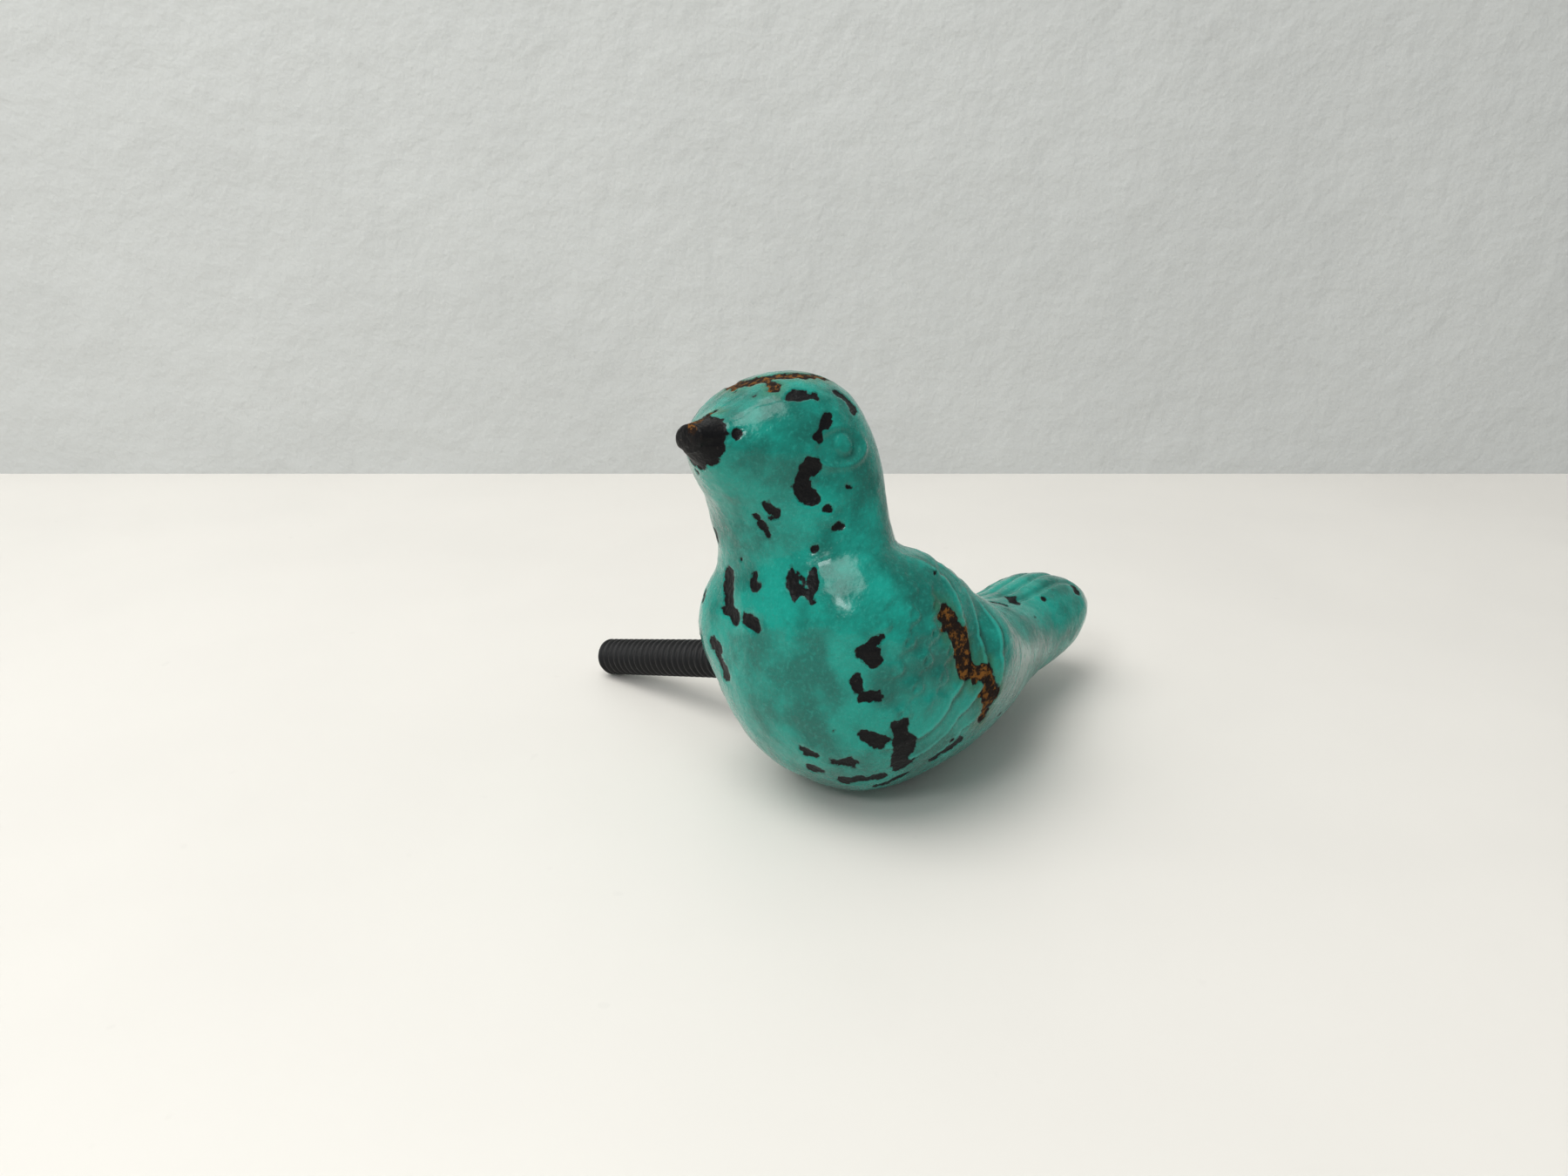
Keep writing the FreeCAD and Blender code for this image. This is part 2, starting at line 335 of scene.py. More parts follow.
def smooth_skin(along, around):
    """The casting's smooth skin, as a grid of points in the knob's own frame.

    At each place along the midline a spline through the sections gives the top and bottom
    points, the half width and the sag.  A point around it is the middle plus half the height
    times the cosine, and plus the half width times the sine, slimmed by the sag.
    """
    knots, table = section_lines()
    rows = spline_through(knots, table, along)
    top = np.stack((rows[:, 0], np.zeros(len(rows)), rows[:, 1]), axis=-1)
    bottom = np.stack((rows[:, 2], np.zeros(len(rows)), rows[:, 3]), axis=-1)
    cosine = np.cos(around)[None, :, None]
    sine = np.sin(around)[None, :, None]
    width = np.stack((np.zeros(len(rows)), rows[:, 4], np.zeros(len(rows))), axis=-1)
    sag = rows[:, 5][:, None, None]
    return ((top + bottom)[:, None] / 2.0 + (top - bottom)[:, None] / 2.0 * cosine
            + width[:, None] * sine * (1.0 - sag * cosine))


def capped(grid, first_bulge, last_bulge):
    """Add rings at both ends that round off to a point, along a quarter of an ellipse."""
    turn = np.arange(1, ROWS_IN_CAP + 1)[:, None, None] / (ROWS_IN_CAP + 1.0) * math.pi / 2.0
    ends = []
    for ring, bulge in ((grid[0], first_bulge), (grid[-1], last_bulge)):
        middle = ring.mean(axis=0)
        outward = np.array(bulge)
        ends.append(middle + (ring - middle) * np.cos(turn) + outward * np.sin(turn))
    return np.concatenate((ends[0][::-1], grid, ends[1]))


def wing_frame(points, side):
    """Coordinates about a wing's centre: along the wing, outwards and across it."""
    centre = WING_CENTRE * np.array((1.0, side, 1.0))
    away = points - centre
    cosine = math.cos(WING_DROOP)
    sine = math.sin(WING_DROOP)
    along = away[..., 0] * cosine - away[..., 2] * sine
    across = away[..., 0] * sine + away[..., 2] * cosine
    return np.stack((along, away[..., 1], across), axis=-1)


def wing_swell(points, normals, side):
    """How far the wing pad, an ellipsoid, stands out of the skin along each normal."""
    place = wing_frame(points, side) / WING_HALF
    zero = wing_frame(np.zeros(3), side)
    heading = (wing_frame(normals, side) - zero) / WING_HALF
    square = np.sum(heading * heading, axis=-1)
    cross = np.sum(place * heading, axis=-1)
    rest = np.sum(place * place, axis=-1) - 1.0
    root = cross * cross - square * rest
    reach = (-cross + np.sqrt(np.maximum(root, 0.0))) / square
    reach = np.where(root > 0.0, reach, -3.0)
    reach = np.clip(reach, -FARTHEST_REACH, FARTHEST_REACH)
    return WING_BLEND * np.logaddexp(0.0, reach / WING_BLEND * 2.0) / 2.0


def evenly_spaced_rows(around):
    """Places along the midline for the rows, closer where the body's rings fan out.

    The places share out evenly the distance that the widest-moving point of a ring travels.
    """
    knots, _ = section_lines()
    trial = np.linspace(0.0, knots[-1], 4 * len(knots))
    rings = smooth_skin(trial, around[::8])
    travel = np.linalg.norm(np.diff(rings, axis=0), axis=-1)
    reach = np.concatenate(((0.0,), np.cumsum(travel.max(axis=1) + travel.mean(axis=1))))
    return np.interp(np.linspace(0.0, reach[-1], ROWS_ALONG), reach, trial)


def main_body():
    """The bird's grid of points, closed at both ends and with its wing pads."""
    around = np.arange(COLUMNS_AROUND) / COLUMNS_AROUND * FULL_TURN
    along = evenly_spaced_rows(around)
    grid = capped(smooth_skin(along, around), TAIL_BULGE, BEAK_BULGE)
    normals = grid_normals(grid)
    swell = sum(wing_swell(grid, normals, side) for side in (-1.0, 1.0))
    return grid + normals * swell[..., None]


def shingle(gap, reach, height):
    """A feather layer: it rises over this reach up to its edge at gap 0, and drops behind it."""
    ramp = np.clip(1.0 + gap / reach, 0.0, 1.0)
    drop = 1.0 - smoothstep(-0.12, 0.22, gap)
    return height * ramp * ramp * drop


def bump_at(distance, width):
    """A smooth bell that is 1 at distance 0 and fades over the width."""
    return np.exp(-(distance / width) ** 2)


def wing_relief(points, side):
    """Heights of one wing's feathers, a painted highlight along their rims and painted shade
    in their recesses.

    Each layer ends in an arc on the flank, scalloped by the absolute sine of the angle, and
    rises towards it like a shingle.  In front of the layers lie small rounded coverts in
    staggered rows: a saw wave towards the tail, its rims bulged by a cosine across it.
    """
    x, z = points[..., 0], points[..., 2]
    on_flank = smoothstep(7.0, 11.0, side * points[..., 1]) * smoothstep(-11.5, -8.0, z)
    height = np.zeros(x.shape)
    edge_highlights = np.zeros(x.shape)
    recess_shading = np.zeros(x.shape)
    first_gap = None
    centre_x, centre_z = FEATHER_CENTRE
    angle = np.arctan2(z - centre_z, x - centre_x)
    rear = smoothstep(-1.75, -1.25, angle) * (1.0 - smoothstep(0.45, 0.95, angle))
    for number in range(FEATHER_EDGES):
        radius = FIRST_EDGE_RADIUS + FEATHER_EDGE_PITCH * number
        scallop = 0.55 * np.abs(np.sin(angle * radius / 2.6 + number))
        gap = np.hypot(x - centre_x, z - centre_z) - radius - scallop
        height += rear * shingle(gap, 3.6, FEATHER_STEP)
        # Painted highlight along each feather layer's rim, and painted shade in the dip just behind
        # it.
        edge_highlights += rear * bump_at(gap + 0.3, 0.3) * FEATHER_STEP * 2.0
        recess_shading += rear * bump_at(gap - 0.35, 0.5)
        split = bump_at(np.sin(angle * radius / 2.6 + number), 0.12) * rear
        height -= 0.13 * split * smoothstep(-3.4, -2.4, gap) * (1.0 - smoothstep(-0.1, 0.1, gap))
        first_gap = gap if first_gap is None else first_gap
    place = wing_frame(points, side)
    row = np.floor(place[..., 0] / COVERT_PITCH)
    turn = FULL_TURN * place[..., 2] / COVERT_PITCH + math.pi * row
    bulge = 0.42 * COVERT_PITCH * (0.5 + 0.5 * np.cos(turn))
    saw = ((place[..., 0] - bulge) / COVERT_PITCH) % 1.0
    coverts = (1.0 - smoothstep(-3.2, -1.2, first_gap)) * smoothstep(-14.0, -11.5, x)
    coverts = coverts * (1.0 - smoothstep(7.5, 10.5, z)) * smoothstep(-8.0, -4.5, z)
    rise = saw ** 2 * (1.0 - smoothstep(0.86, 1.0, saw))
    height += 0.48 * coverts * rise
    # Painted highlight along each covert's rim, and painted shade at its foot.
    edge_highlights += 0.5 * coverts * bump_at(saw - 0.84, 0.1)
    recess_shading += 0.6 * coverts * bump_at(saw - 0.03, 0.12)
    return height * on_flank, edge_highlights * on_flank, recess_shading * on_flank


def eye_relief(points, side):
    """Heights of one eye, a ball in a dip between two lids, with a painted highlight along the
    lids' rim and painted shade inside them.

    The lids follow an ellipse, highest below and in front; the ball is a low dome.
    """
    across = points[..., 0] - EYE_X
    up = points[..., 2] - EYE_Z
    on_side = smoothstep(4.0, 7.5, side * points[..., 1])
    from_ball = np.hypot(across, up)
    lid = np.hypot((across + 0.4) / LID_HALF_LENGTH, (up + 0.1) / LID_HALF_HEIGHT)
    from_lid = (lid - 1.0) * LID_HALF_HEIGHT
    inside = 1.0 - smoothstep(-0.5, 0.05, from_lid)
    dome = np.sqrt(np.clip(1.0 - (from_ball / EYEBALL_RADIUS) ** 2, 0.0, 1.0))
    below = smoothstep(0.6, -0.9, up)
    height = -0.3 * inside + 0.36 * dome + 0.24 * bump_at(from_lid - 0.15, 0.35) * (0.2 + below)
    # Painted highlight along the lids' rim, strongest on the lower lid, and painted shade in the dip
    # round the ball.
    edge_highlights = bump_at(from_lid - 0.12, 0.2) * (0.05 + 0.55 * below)
    recess_shading = inside * (1.0 - dome) * 0.45
    return height * on_side, edge_highlights * on_side, recess_shading * on_side


def tail_relief(points):
    """Heights of the grooves between the tail's feathers, and the painted shade in them."""
    on_tail = smoothstep(19.0, 26.0, points[..., 0]) * (1.0 - smoothstep(38.2, 40.4, points[..., 0]))
    height = np.zeros(points.shape[:-1])
    spread = 0.75 + 0.01 * (points[..., 0] - 15.0)
    for groove in TAIL_GROOVES:
        height -= 0.34 * bump_at(points[..., 1] - groove * spread, 0.38)
    # The deeper a groove, the more painted shade it gets.
    recess_shading = -height * 1.6
    return height * on_tail, recess_shading * on_tail


def beak_relief(points):
    """Heights of the line between the two halves of the beak, and the painted shade in it."""
    on_beak = 1.0 - smoothstep(-18.6, -17.4, points[..., 0])
    line = 27.6 + 0.18 * (points[..., 0] + 17.0)
    groove = bump_at(points[..., 2] - line, 0.28) * on_beak
    # The second value is the painted shade along the line.
    return -0.1 * groove, 0.5 * groove


def from_stroke(points, start, end):
    """Distance from each point to the straight stroke between two places."""
    stroke = end - start
    share = ((points - start) @ stroke) / max(float(stroke @ stroke), 1e-9)
    nearest = start + np.clip(share, 0.0, 1.0)[..., None] * stroke
    return np.linalg.norm(points - nearest, axis=-1)


def on_skin(points, height, bearing):
    """The grid point nearest to a height and a bearing about the bird's upright axis."""
    radius = np.hypot(points[..., 0] - UPRIGHT_X, points[..., 1])
    turn = np.arctan2(-points[..., 1], UPRIGHT_X - points[..., 0]) - math.radians(bearing)
    sweep = radius * np.arctan2(np.sin(turn), np.cos(turn))
    miss = np.hypot(points[..., 2] - height, sweep)
    return points[np.unravel_index(np.argmin(miss), miss.shape)]


def placed_marks(points, table):
    """The marks of a table as strokes over the skin, each bent at its middle."""
    marks = []
    for height, bearing, far_height, far_bearing, width in table:
        start = on_skin(points, height, bearing)
        middle = on_skin(points, (height + far_height) / 2.0, (bearing + far_bearing) / 2.0)
        end = on_skin(points, far_height, far_bearing)
        marks += [(start, middle, width), (middle, end, width)]
    return marks


def strewn_marks(points, where, seed, count, widths):
    """Short marks strewn over part of the skin, most of them near the smaller width."""
    dice = np.random.default_rng(seed)
    cells = np.argwhere(where)
    cells = cells[(cells[:, 0] > ROWS_IN_CAP) & (cells[:, 0] < len(points) - ROWS_IN_CAP)]
    starts = cells[dice.integers(0, len(cells), count)]
    marks = []
    for row, column in starts:
        width = widths[0] + (widths[1] - widths[0]) * dice.random() ** 2
        far_row = int(np.clip(row + dice.integers(-4, 5) * width, 0, len(points) - 1))
        far_column = int(column + dice.integers(-4, 5) * width) % points.shape[1]
        marks.append((points[row, column], points[far_row, far_column], width))
    return marks


def chip_depth(points, marks):
    """How far each point lies inside the nearest mark in mm, negative outside."""
    inside = np.full(points.shape[:-1], -2.5)
    for start, end, width in marks:
        inside = np.maximum(inside, width / 2.0 - from_stroke(points, start, end))
    return inside


def bare_beak(points):
    """How far each point lies inside the beak's worn black area: a ball about its tip."""
    away = np.linalg.norm(points - BEAK_TIP, axis=-1)
    return np.clip(BARE_BEAK_RADIUS - away, -2.5, 1.2)


def bird_surface(relief, chip_step):
    """The bird's finished points, and what its paint needs at each of them."""
    grid = main_body()
    normals = grid_normals(grid)
    rough = 0.45 * lumps(grid, 1.1, 11) + 0.32 * lumps(grid, 0.6, 12)
    far_side = (grid[..., 1] > FAR_SIDE_Y) | (grid[..., 0] > TAIL_X)
    marks = placed_marks(grid, CHIPS) + strewn_marks(grid, ~far_side, *LEFT_SIDE_SPECKS)
    marks += strewn_marks(grid, far_side, *FAR_SIDE_SPECKS)
    chips = np.maximum(chip_depth(grid, marks), bare_beak(grid))
    rust = chip_depth(grid, placed_marks(grid, RUSTY_CHIPS))
    bare = np.maximum(chips, rust) + rough
    height = 0.10 * layered_lumps(grid, 4.2, 3) + 0.035 * layered_lumps(grid, 1.3, 7, 2)
    # The relief's edge values are a painted highlight along its ridges, and its recess values a
    # painted shade.
    edge_highlights = np.zeros(bare.shape)
    recess_shading = np.zeros(bare.shape)
    for side in (-1.0, 1.0):
        for feature in (wing_relief, eye_relief):
            rise, light, dark = feature(grid, side)
            height += relief * rise
            edge_highlights += light
            recess_shading += dark
    for rise, dark in (tail_relief(grid), beak_relief(grid)):
        height += relief * rise
        recess_shading += dark
    height -= chip_step * smoothstep(-0.08, 0.12, bare)
    points = grid + normals * height[..., None]
    paint = {"chip": bare, "rust": rust + 1.4 * rough, "edge": edge_highlights, "hollow": recess_shading}
    return points, paint


def with_poles(grid, paint):
    """Flatten a grid and its paint values, and add the two points that close its ends."""
    points = np.concatenate((grid.reshape(-1, 3), grid[:1].mean(axis=1), grid[-1:].mean(axis=1)))
    flat = {}
    for label, values in paint.items():
        flat[label] = np.concatenate((values.ravel(), values[:1].mean(axis=1),
                                      values[-1:].mean(axis=1)))
    return points, flat


# ---------------------------------------------------------------- the boss and the stud


def turned_about_stud(radii, outs, columns):
    """A profile of radii and distances out, turned about the stud's axis."""
    turn = np.arange(columns) / columns * FULL_TURN
    radii = np.asarray(radii, float)
    outs = np.asarray(outs, float)
    if radii.ndim == 1:
        radii = np.repeat(radii[:, None], columns, axis=1)
        outs = np.repeat(outs[:, None], columns, axis=1)
    return np.stack((STUD_X + radii * np.sin(turn), outs, STUD_Z + radii * np.cos(turn)), axis=-1)


def boss_profile():
    """Radii and distances out of the boss: its flared foot, wall, rounded rim, seat and hole.

    The foot flares by a falling exponential, the rim is a quarter circle, and the hole is a
    45 degree countersink and a bore with a flat bottom.
    """
    outs = np.linspace(SEAT_OUT - 5.5, SEAT_OUT - SEAT_EDGE, 28)
    radii = SEAT_RADIUS + 1.3 * np.exp(-(outs - outs[0]) / 1.1)
    turn = np.linspace(0.0, math.pi / 2.0, 7)[1:]
    rim_radii = SEAT_RADIUS - SEAT_EDGE + SEAT_EDGE * np.cos(turn)
    rim_outs = SEAT_OUT - SEAT_EDGE + SEAT_EDGE * np.sin(turn)
    seat_radii = np.linspace(SEAT_RADIUS - SEAT_EDGE, MOUTH_RADIUS, 12)[1:]
    seat_outs = np.full(len(seat_radii), SEAT_OUT)
    slope = MOUTH_RADIUS - BORE_RADIUS
    bore_outs = np.linspace(SEAT_OUT - slope, SEAT_OUT - HOLE_DEPTH, 12)
    bore_radii = np.full(len(bore_outs), BORE_RADIUS)
    return (np.concatenate((radii, rim_radii, seat_radii, bore_radii)),
            np.concatenate((outs, rim_outs, seat_outs, bore_outs)))


def thread_surface(pitch, depth):
    """The stud's thread, as a grid along and around its axis.

    The radius falls from the crest by the depth times a rounded wave of the phase, which is the
    distance out over the pitch less the turn, so that the ridge climbs as a right-hand helix.
    Both ends are narrowed by a 45 degree chamfer.
    """
    columns = 64
    start = SEAT_OUT - HOLE_DEPTH + 0.05
    end = SEAT_OUT + STUD_REACH
    rows = int(round((end - start) / pitch * 14))
    outs = np.linspace(start, end, rows)[:, None] * np.ones((1, columns))
    turn = np.arange(columns)[None, :] / columns
    phase = (outs / pitch - turn) % 1.0
    flank = np.abs(2.0 * phase - 1.0)
    wave = smoothstep(0.12, 0.9, flank)
    inside_hole = 1.0 - smoothstep(SEAT_OUT - 0.8, SEAT_OUT - 0.3, outs)
    crest = STUD_RADIUS - 0.37 * inside_hole
    radii = crest - depth * wave * (1.0 - 0.6 * inside_hole)
    radii = np.minimum(radii, STUD_RADIUS - 0.7 + (end - outs))
    radii = np.minimum(radii, STUD_RADIUS - 0.9 + (outs - start))
    return turned_about_stud(radii, outs, columns), wave


# ---------------------------------------------------------------- materials


class Wire:
    """A shader socket on which Python arithmetic adds Math nodes."""

    def __init__(self, paint, socket):
        self.paint = paint
        self.socket = socket

    def math(self, operation, *others):
        values = {0: self}
        values.update({number: other for number, other in enumerate(others, start=1)})
        return self.paint.node("ShaderNodeMath", {"operation": operation}, values)

    def __add__(self, other):
        return self.math("ADD", other)

    def __sub__(self, other):
        return self.math("SUBTRACT", other)

    def __mul__(self, other):
        return self.math("MULTIPLY", other)

    def __rsub__(self, other):
        return self.math("MULTIPLY_ADD", -1.0, other)

    __radd__ = __add__
    __rmul__ = __mul__


class Paint:
    """One material: its nodes are added by a few methods that return wires."""

    def __init__(self, name):
        self.material = bpy.data.materials.new(name)
        self.material.use_nodes = True
        self.tree = self.material.node_tree
        self.tree.nodes.clear()

    def node(self, kind, settings=None, values=None, out=0):
        """Add a node: its settings first, then the values or links of its sockets."""
        made = self.tree.nodes.new(kind)
        for label, setting in (settings or {}).items():
            setattr(made, label, setting)
        for label, value in (values or {}).items():
            if isinstance(value, Wire):
                self.tree.links.new(value.socket, made.inputs[label])
            else:
                made.inputs[label].default_value = value
        return None if out is None else Wire(self, made.outputs[out])

    def place(self):
        return self.node("ShaderNodeTexCoord", out="Object")

    def attribute(self, name):
        return self.node("ShaderNodeAttribute", {"attribute_name": name}, out="Fac")

    def noise(self, place, size, detail=3.0, roughness=0.55):
        """Noise with lumps of this size in mm, from 0 to 1 with its middle at a half."""
        return self.node("ShaderNodeTexNoise", None, {
            "Vector": place, "Scale": 1.0 / (size * MM), "Detail": detail,
            "Roughness": roughness})

    def step(self, low, high, value):
        """A smooth step from 0 at low to 1 at high."""
        return self.node("ShaderNodeMapRange", {"interpolation_type": "SMOOTHSTEP"}, {
            "Value": value, "From Min": low, "From Max": high})

    def mix(self, share, first, second):
        """The first colour where share is 0 and the second where it is 1."""
        made = self.tree.nodes.new("ShaderNodeMix")
        made.data_type = "RGBA"
        made.clamp_factor = True
        for number, value in ((0, share), (6, first), (7, second)):
            if isinstance(value, Wire):
                self.tree.links.new(value.socket, made.inputs[number])
            else:
                made.inputs[number].default_value = value
        return Wire(self, made.outputs[2])

    def bump(self, height, distance, strength=1.0, normal=None):
        """Bump from a height of 0 to 1 that stands for this distance in mm."""
        values = {"Height": height, "Distance": distance * MM, "Strength": strength}
        if normal is not None:
            values["Normal"] = normal
        return self.node("ShaderNodeBump", None, values, out="Normal")

    def finish(self, **values):
        """Add the principled shader with these sockets, and the output."""
        named = {label.replace("_", " "): value for label, value in values.items()}
        shader = self.node("ShaderNodeBsdfPrincipled", None, named)
        self.node("ShaderNodeOutputMaterial", None, {"Surface": shader}, out=None)
        return self.material


def chipped_enamel(colours, grain):
    """Glossy turquoise enamel, brushed over a black undercoat, chipped and rusty in places.

    The piece's attributes say how deep a point lies inside a chip or a rust patch, and where
    the relief's ridges get a painted highlight and its recesses a painted shade; noise
    roughens them.
    """
    paint = Paint("chipped_enamel")
    place = paint.place()
    fine = paint.noise(place, 0.42, 2.0)
    speckle = paint.noise(place, 0.9, 3.0)
    cloud = paint.noise(place, 5.5, 3.0)
    blotch = paint.noise(place, 2.1, 4.0, 0.65)
    edge = paint.attribute("edge")
    hollow = paint.attribute("hollow")
    bare_depth = paint.attribute("chip") + (fine - 0.5) * 0.5
    bare = paint.step(-0.03, 0.03, bare_depth)
    rust_depth = paint.attribute("rust") + (speckle - 0.5) * 1.1
    rusty = paint.step(-0.15, 0.25, rust_depth)

    enamel = paint.mix(paint.step(0.36, 0.66, cloud), colours.deep_enamel, colours.enamel)
    enamel = paint.mix(paint.step(0.56, 0.72, blotch) * 0.35, enamel, colours.deep_enamel)
    enamel = paint.mix(paint.step(0.5, 0.75, fine) * 0.22, enamel, colours.pale_and_highlight_enamel)
    # Painted shade: darker enamel in the relief's recesses, mottled by the blotches as dirt.
    shade_and_dirt = paint.step(0.1, 1.2, hollow + (blotch - 0.5) * 0.9)
    enamel = paint.mix(shade_and_dirt * 0.72, enamel, colours.shade_and_rim_enamel)
    # Painted highlight: paler enamel along the relief's ridges.
    enamel = paint.mix(paint.step(0.25, 1.0, edge) * 0.55, enamel, colours.pale_and_highlight_enamel)
    stain = paint.step(-1.6, 0.2, rust_depth + (blotch - 0.5) * 1.5)
    enamel = paint.mix(stain * 0.5, enamel, colours.stain)
    rim = paint.step(-0.16, -0.04, bare_depth) * 0.55
    enamel = paint.mix(rim, enamel, colours.shade_and_rim_enamel)

    grime = paint.mix(paint.step(0.55, 0.8, speckle) * 0.55, colours.undercoat, colours.brown)
    flecks = paint.step(0.66, 0.74, paint.noise(place, 0.5, 2.0))
    grime = paint.mix(flecks * 0.15, grime, colours.scuff)
    flake = paint.step(0.5, 0.6, paint.noise(place, 0.8, 4.0, 0.7))
    oxide = paint.mix(flake, colours.dark_rust, colours.rust)
    under = paint.mix(rusty, grime, oxide)
    colour = paint.mix(bare, enamel, under)

    peel = paint.noise(place, 0.62, 2.0)
    brushed = paint.noise(place, 2.6, 3.0)
    rough_enamel = 0.2 + paint.step(0.3, 0.8, blotch) * 0.16
    rough_under = 0.42 + rusty * 0.4
    roughness = rough_enamel + (rough_under - rough_enamel) * bare
    normal = paint.bump(brushed, 0.16 * grain)
    normal = paint.bump(peel, 0.12 * grain, normal=normal)
    normal = paint.bump(1.0 - bare, 0.07, normal=normal)
    normal = paint.bump(speckle * bare, 0.12, normal=normal)
    return paint.finish(Base_Color=colour, Roughness=roughness, Normal=normal,
                        Coat_Weight=(1.0 - bare) * 0.45, Coat_Roughness=0.14,
                        Specular_IOR_Level=0.15)


def black_oxide(colour, grain):
    """Satin black steel, a little greyer and smoother where the thread's crests are worn."""
    paint = Paint("black_oxide")
    place = paint.place()
    crest = paint.attribute("crest")
    smear = paint.noise(place, 1.8, 4.0, 0.6)
    worn = paint.step(0.75, 1.0, crest) * paint.step(0.4, 0.7, smear)
    tint = paint.mix(worn * 0.5, colour, (0.018, 0.018, 0.019, 1.0))
    dust = paint.step(0.62, 0.8, paint.noise(place, 0.6, 3.0))
    tint = paint.mix(dust * 0.2, tint, (0.025, 0.024, 0.023, 1.0))
    roughness = 0.52 - worn * 0.14 + paint.step(0.4, 0.8, smear) * 0.12
    normal = paint.bump(paint.noise(place, 0.35, 3.0), 0.04 * grain)
    return paint.finish(Base_Color=tint, Roughness=roughness, Normal=normal,
                        Specular_IOR_Level=0.3)


def table_top(colour):
    """A pale, smooth, slightly sheeny table top with a few faint marks."""
    paint = Paint("table_top")
    place = paint.place()
    cloud = paint.noise(place, 60.0, 3.0)
    shade = tuple(0.95 * value for value in colour[:3]) + (1.0,)
    tint = paint.mix(paint.step(0.35, 0.7, cloud) * 0.6, colour, shade)
    marks = paint.step(0.76, 0.8, paint.noise(place, 4.0, 1.0))
    tint = paint.mix(marks * 0.12, tint, tuple(0.75 * value for value in colour[:3]) + (1.0,))
    roughness = 0.42 + paint.step(0.3, 0.7, paint.noise(place, 25.0)) * 0.1
    normal = paint.bump(paint.noise(place, 5.0, 2.0), 0.01)
    return paint.finish(Base_Color=tint, Roughness=roughness, Normal=normal)


def painted_wall(colour):
    """A pale painted wall with a soft roller texture."""
    paint = Paint("painted_wall")
    place = paint.place()
    cloud = paint.noise(place, 45.0, 4.0)
    shade = tuple(0.9 * value for value in colour[:3]) + (1.0,)
    tint = paint.mix(paint.step(0.3, 0.7, cloud) * 0.5, colour, shade)
    normal = paint.bump(paint.noise(place, 9.0, 4.0, 0.6), 0.9)
    return paint.finish(Base_Color=tint, Roughness=0.8, Normal=normal)


# ---------------------------------------------------------------- settings


def colour_property(name, description, default):
    """A colour setting with its default in scene linear values."""
    return FloatVectorProperty(name=name, description=description, subtype="COLOR", size=4,
                               min=0.0, max=1.0, default=default)


class KnobBodySettings(bpy.types.PropertyGroup):
    """Sizes and colours of the enamelled casting."""

    relief: FloatProperty(
        name="Relief", description="How strongly feathers, eyes and tail grooves stand out",
        default=1.0, min=0.0, max=1.5)
    chip_step: FloatProperty(
        name="Chip depth", description="Thickness of the coats where they are chipped away",
        default=0.00014, min=0.0, max=0.0004, precision=5, subtype="DISTANCE", unit="LENGTH")
    grain: FloatProperty(
        name="Grain", description="Strength of the enamel's fine unevenness", default=1.0,
        min=0.0, max=3.0)
    enamel: colour_property(
        "Enamel", "Turquoise of the open surfaces", (0.001, 0.275, 0.215, 1.0))
    deep_enamel: colour_property(
        "Deep enamel", "Turquoise where the coat is thin", (0.001, 0.13, 0.1, 1.0))
    # Pale turquoise for random flecks in the enamel and for the painted highlight along the relief's
    # ridges.
    pale_and_highlight_enamel: colour_property(
        "Pale enamel", "Turquoise brushed over edges", (0.03, 0.42, 0.34, 1.0))
    # Dark turquoise for the painted shade in the relief's recesses, mixed with dirt, and for the
    # darker ring round the chips.
    shade_and_rim_enamel: colour_property(
        "Hollow enamel", "Dark wash left in the hollows", (0.002, 0.075, 0.055, 1.0))
    stain: colour_property("Stain", "Enamel stained by rust", (0.04, 0.1, 0.025, 1.0))
    undercoat: colour_property("Undercoat", "Black under the enamel", (0.003, 0.003, 0.0035, 1.0))
    brown: colour_property("Brown", "Brown tinge of the undercoat", (0.014, 0.008, 0.005, 1.0))
    scuff: colour_property("Scuff", "Pale flecks in the undercoat", (0.12, 0.1, 0.085, 1.0))
    dark_rust: colour_property("Dark rust", "Brown rust", (0.014, 0.007, 0.004, 1.0))
    rust: colour_property("Rust", "Orange rust", (0.17, 0.068, 0.012, 1.0))


class KnobStudSettings(bpy.types.PropertyGroup):
    """Sizes and colour of the threaded stud."""

    pitch: FloatProperty(
        name="Pitch", description="Distance from one thread to the next", default=25.4 / 24 * MM,
        min=0.0005, max=0.003, precision=5, subtype="DISTANCE", unit="LENGTH")
    depth: FloatProperty(
        name="Thread depth", description="Height of the thread", default=0.00035,
        min=0.0, max=0.001, precision=5, subtype="DISTANCE", unit="LENGTH")
    colour: colour_property("Black", "Black oxide of the steel", (0.004, 0.004, 0.0045, 1.0))


class KnobStageSettings(bpy.types.PropertyGroup):
    """Table, wall, lights and camera."""

    table: colour_property("Table", "Colour of the table top", (0.76, 0.735, 0.69, 1.0))
    wall: colour_property("Wall", "Colour of the wall", (0.6, 0.615, 0.6, 1.0))
    ceiling_power: FloatProperty(
        name="Overhead light", description="Power of the large overhead light in watts",
        default=3.2, min=0.0, soft_max=20.0)
    window_power: FloatProperty(
        name="Window light", description="Power of the light in front in watts",
        default=0.9, min=0.0, soft_max=20.0)
    sky: FloatProperty(
        name="Room light", description="Strength of the even light of the room",
        default=0.45, min=0.0, soft_max=3.0)
    lens: FloatProperty(
        name="Lens", description="Focal length of the camera in mm", default=27.04, min=10.0)


# ---------------------------------------------------------------- operators


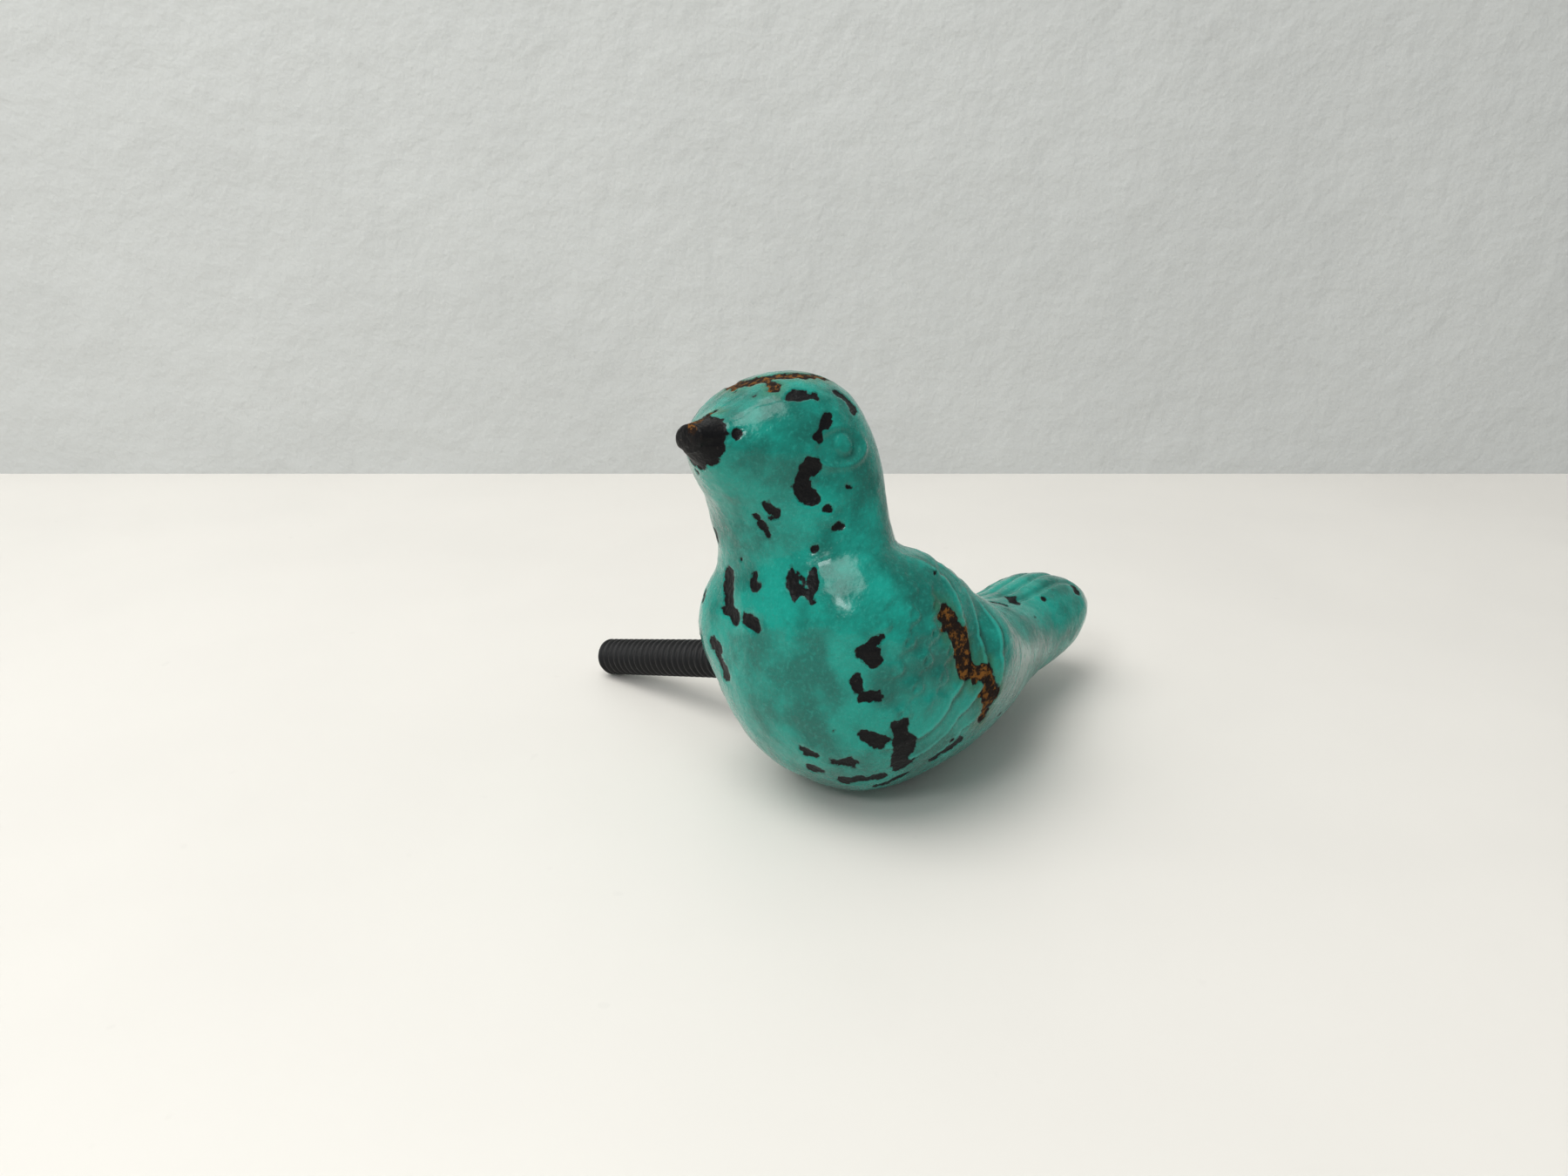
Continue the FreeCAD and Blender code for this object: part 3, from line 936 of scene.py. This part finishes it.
def add_piece(name, grid, paint, material, node):
    """Make one finished piece of the knob, hang it from the root body and hide the part it stands
    for.
    """
    points, flat = with_poles(grid, paint)
    quads, triangles = closed_grid_faces(grid.shape[0], grid.shape[1])
    placed = laid_on_floor(points)
    placed[:, 2] = np.maximum(placed[:, 2], 0.0)
    piece = new_mesh_object(name, placed, quads, triangles, flat)
    piece.data.materials.append(material)
    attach(piece, "root")
    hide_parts(node)
    return piece


class KNOB_OT_body(bpy.types.Operator):
    """Build the enamelled bird and the boss that its stud is screwed into"""

    bl_idname = "bird_knob.build_body"
    bl_label = "Build Bird"

    def execute(self, context):
        settings = context.scene.bird_knob_body
        enamel = chipped_enamel(settings, settings.grain)
        grid, paint = bird_surface(settings.relief, settings.chip_step / MM)
        add_piece("bird_body", grid, paint, enamel, "bird_casting")
        boss = turned_about_stud(*boss_profile(), 96)
        wear = 0.5 * layered_lumps(boss, 2.2, 21)
        rim = bump_at(boss[..., 1] - SEAT_OUT, 0.5)
        plain = np.zeros(wear.shape)
        paint = {"chip": wear - 0.75 + 0.55 * rim, "rust": wear - 1.3, "edge": plain,
                 "hollow": plain}
        add_piece("mounting_boss", boss, paint, enamel, "bird_casting")
        return {"FINISHED"}


class KNOB_OT_stud(bpy.types.Operator):
    """Build the threaded stud"""

    bl_idname = "bird_knob.build_stud"
    bl_label = "Build Stud"

    def execute(self, context):
        settings = context.scene.bird_knob_stud
        grid, wave = thread_surface(settings.pitch / MM, settings.depth / MM)
        paint = {"crest": 1.0 - wave}
        steel = black_oxide(settings.colour, 1.0)
        add_piece("stud_thread", grid, paint, steel, "threaded_stud")
        return {"FINISHED"}


CAMERA_FROM_KNOB = Vector((-98.3, -71.9, 51.9)) * MM
CAMERA_HEADING = math.radians(-49.2)
CAMERA_DIP = math.radians(19.9)
WALL_FROM_CAMERA = 259.0 * MM
SKIRT = 1.6


def stage_sheet(name, corners, material):
    """One large flat sheet of the stage."""
    mesh = bpy.data.meshes.new(name)
    mesh.from_pydata([tuple(corner) for corner in corners], [], [(0, 1, 2, 3)])
    sheet = bpy.data.objects.new(name, mesh)
    bpy.context.scene.collection.objects.link(sheet)
    sheet.data.materials.append(material)
    return sheet


def aim(thing, place, target):
    """Put a light or camera in its place, facing a target."""
    thing.location = place
    thing.rotation_euler = (target - place).to_track_quat("-Z", "Y").to_euler()


def area_light(name, place, target, width, height, power, colour):
    """A rectangular lamp that faces a target."""
    lamp = bpy.data.lights.new(name, "AREA")
    lamp.shape = "RECTANGLE"
    lamp.size = width
    lamp.size_y = height
    lamp.energy = power
    lamp.color = colour
    thing = bpy.data.objects.new(name, lamp)
    bpy.context.scene.collection.objects.link(thing)
    aim(thing, place, target)
    return thing


class KNOB_OT_stage(bpy.types.Operator):
    """Set up the table, the wall, the soft light and the camera"""

    bl_idname = "bird_knob.build_stage"
    bl_label = "Set Up Stage"

    def execute(self, context):
        settings = context.scene.bird_knob_stage
        knob = Vector(laid_on_floor(np.zeros(3)))
        eye = knob + CAMERA_FROM_KNOB
        ahead = Vector((-math.sin(CAMERA_HEADING), math.cos(CAMERA_HEADING), 0.0))
        right = Vector((ahead.y, -ahead.x, 0.0))
        up = Vector((0.0, 0.0, 1.0))
        foot = Vector((eye.x, eye.y, 0.0)) + ahead * WALL_FROM_CAMERA
        near = foot - ahead * SKIRT
        stage_sheet("table", (near - right * SKIRT, near + right * SKIRT,
                              foot + right * SKIRT, foot - right * SKIRT),
                    table_top(settings.table))
        stage_sheet("wall", (foot - right * SKIRT, foot + right * SKIRT,
                             foot + right * SKIRT + up * SKIRT, foot - right * SKIRT + up * SKIRT),
                    painted_wall(settings.wall))
        camera = bpy.data.cameras.new("camera")
        camera.lens = settings.lens
        camera.sensor_width = 36.0
        camera.clip_start = 0.005
        view = bpy.data.objects.new("camera", camera)
        view.location = eye
        view.rotation_euler = (math.radians(90.0) - CAMERA_DIP, 0.0, CAMERA_HEADING)
        context.scene.collection.objects.link(view)
        context.scene.camera = view
        area_light("overhead_light", knob - ahead * 0.08 - right * 0.22 + up * 0.55, knob,
                   0.55, 0.5, settings.ceiling_power, (1.0, 0.985, 0.96))
        area_light("window_light", knob - ahead * 0.45 - right * 0.28 + up * 0.42, knob,
                   0.16, 0.12, settings.window_power, (0.97, 0.99, 1.0))
        world = bpy.data.worlds.new("room")
        world.use_nodes = True
        background = world.node_tree.nodes["Background"]
        background.inputs["Color"].default_value = (0.95, 0.975, 1.0, 1.0)
        background.inputs["Strength"].default_value = settings.sky
        context.scene.world = world
        context.scene.view_settings.view_transform = "Standard"
        return {"FINISHED"}


class KNOB_PT_panel(bpy.types.Panel):
    """Sizes, colours and the steps that build the knob"""

    bl_idname = "KNOB_PT_panel"
    bl_label = "Bird Cabinet Knob"
    bl_space_type = "VIEW_3D"
    bl_region_type = "UI"
    bl_category = "Bird Knob"

    def draw(self, context):
        groups = (("bird_knob_body", KNOB_OT_body), ("bird_knob_stud", KNOB_OT_stud),
                  ("bird_knob_stage", KNOB_OT_stage))
        for group, step in groups:
            box = self.layout.box()
            box.operator(step.bl_idname)
            settings = getattr(context.scene, group)
            for label in settings.__annotations__:
                box.prop(settings, label)


CLASSES = (KnobBodySettings, KnobStudSettings, KnobStageSettings, KNOB_OT_body, KNOB_OT_stud,
           KNOB_OT_stage, KNOB_PT_panel)


def register():
    """Register the classes and their settings."""
    for kind in CLASSES:
        bpy.utils.register_class(kind)
    bpy.types.Scene.bird_knob_body = PointerProperty(type=KnobBodySettings)
    bpy.types.Scene.bird_knob_stud = PointerProperty(type=KnobStudSettings)
    bpy.types.Scene.bird_knob_stage = PointerProperty(type=KnobStageSettings)


def unregister():
    """Remove the settings and the classes."""
    for label in ("bird_knob_body", "bird_knob_stud", "bird_knob_stage"):
        delattr(bpy.types.Scene, label)
    for kind in reversed(CLASSES):
        bpy.utils.unregister_class(kind)


def main():
    """Build the knob and its stage."""
    register()
    bpy.ops.bird_knob.build_body()
    bpy.ops.bird_knob.build_stud()
    bpy.ops.bird_knob.build_stage()


if __name__ == "__main__":
    main()
